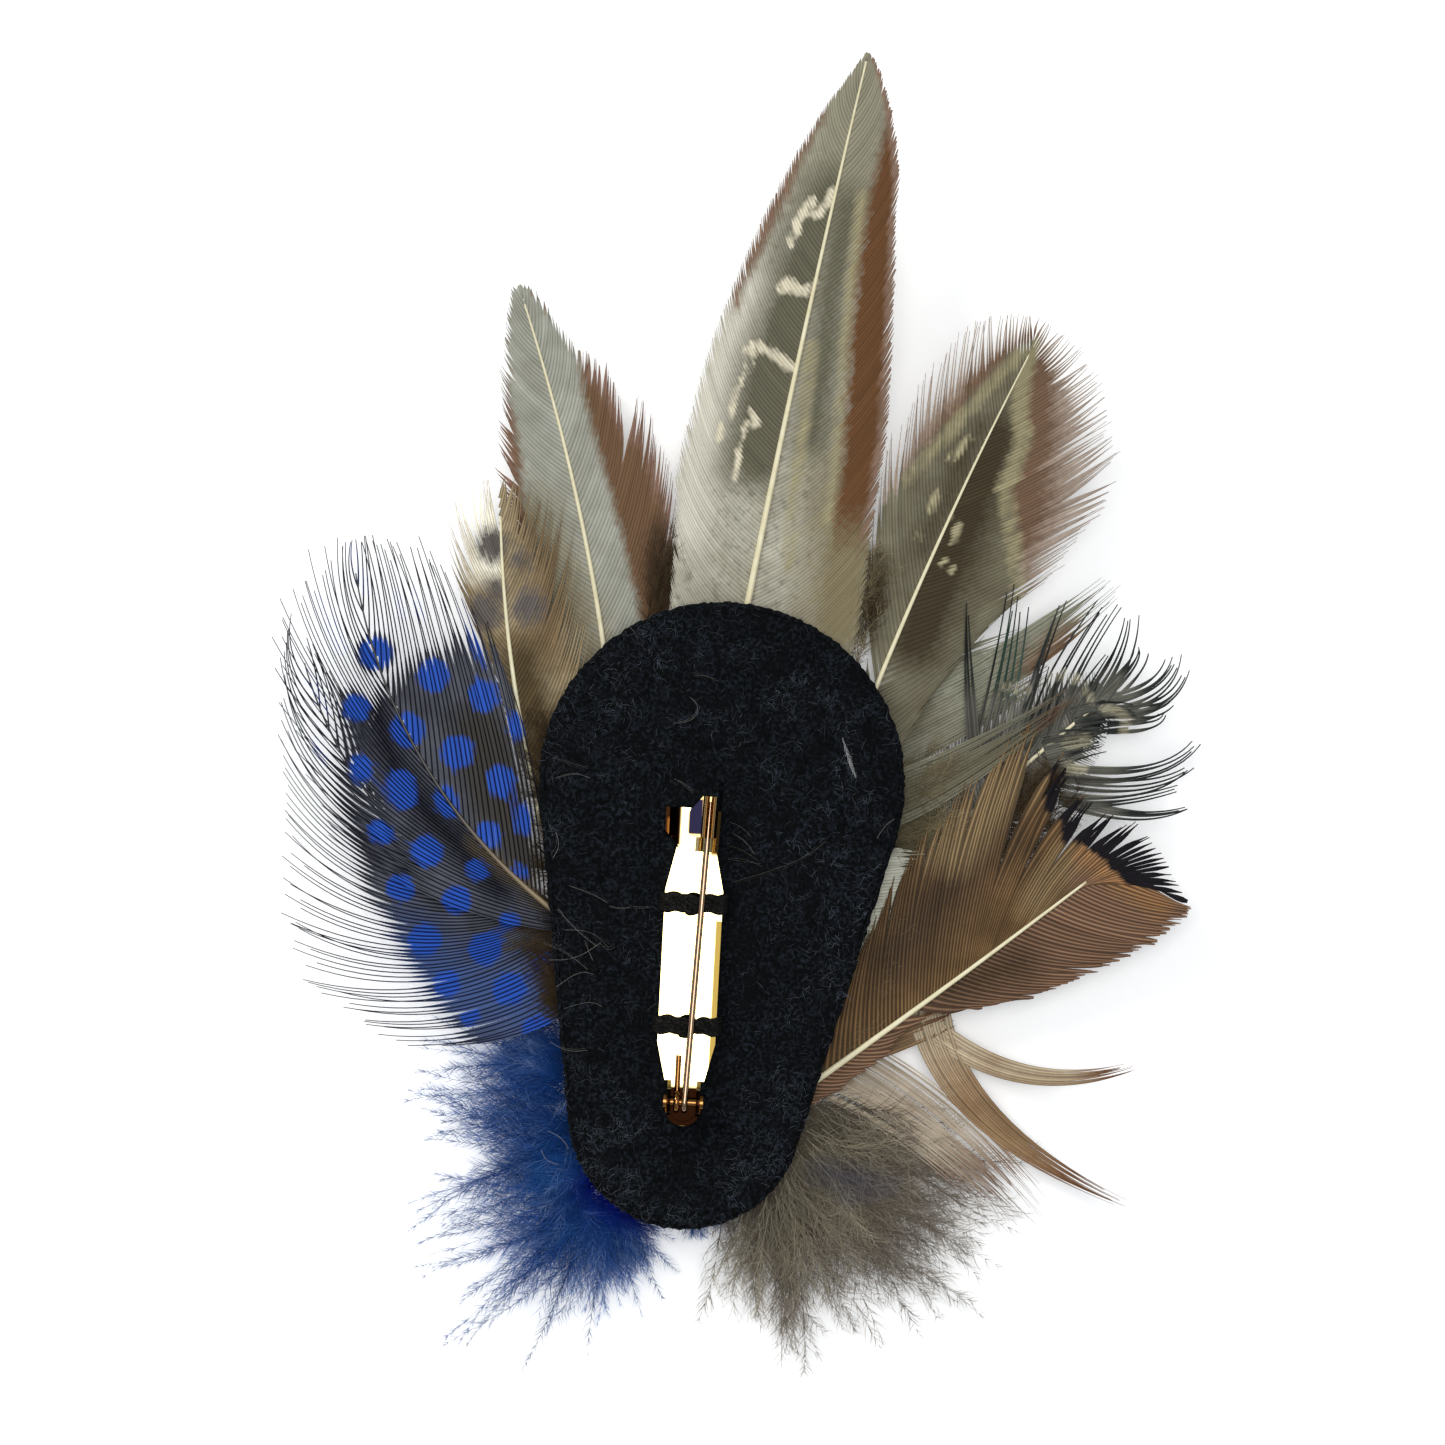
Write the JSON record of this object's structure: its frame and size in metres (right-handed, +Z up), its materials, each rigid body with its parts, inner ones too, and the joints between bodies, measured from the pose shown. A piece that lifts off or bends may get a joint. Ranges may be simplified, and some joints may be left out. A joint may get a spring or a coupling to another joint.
{
  "type": "feather hat plume",
  "caption": "Fan of natural and dyed feathers on a felt back, with a bar pin that fastens it to a hat or lapel.",
  "frame": {"origin": "Under the middle of the whole plume, on the surface that it lies on, face down.", "axes": "+Z is up, out of the felt back and its pin. +Y runs along the plume towards its tallest tip. +X is to the right, seen from above."},
  "size_m": [0.0969, 0.1423, 0.0146],
  "materials": {
    "felt": "matte",
    "gold": "polished",
    "grey_vane": "satin",
    "buff_vane": "satin",
    "spotted_vane": "satin",
    "barred_vane": "satin",
    "brown_vane": "satin",
    "blue_down": "matte",
    "brown_down": "matte",
    "fluff": "matte"
  },
  "bodies": {
    "root": {"felt_pad": "felt", "pin_plate": "gold", "hinge_rivet": "gold", "spring_leg": "gold", "tall_feather": "grey_vane", "left_feather": "grey_vane", "round_feather": "grey_vane", "buff_feather": "buff_vane", "spotted_feather_upper": "spotted_vane", "spotted_feather_lower": "spotted_vane", "barred_feather": "barred_vane", "brown_feather": "brown_vane", "under_feather": "brown_vane", "blue_down": "blue_down", "brown_down": "brown_down", "fluff_bed": "fluff"},
    "needle": {"pin_needle": "gold"},
    "catch": {"catch_barrel": "gold"}
  },
  "joints": [
    {"name": "needle_hinge", "type": "hinge", "parent": "root", "child": "needle", "pos_m": [-0.00572, -0.0396, 0.0102], "axis": [0.9986, -0.0523, 0], "range_deg": [0, 70]},
    {"name": "catch_turn", "type": "hinge", "parent": "root", "child": "catch", "pos_m": [-0.00293, -0.00941, 0.01019], "axis": [0.0871, 0.9958, -0.0284], "range_deg": [0, 100]}
  ]
}
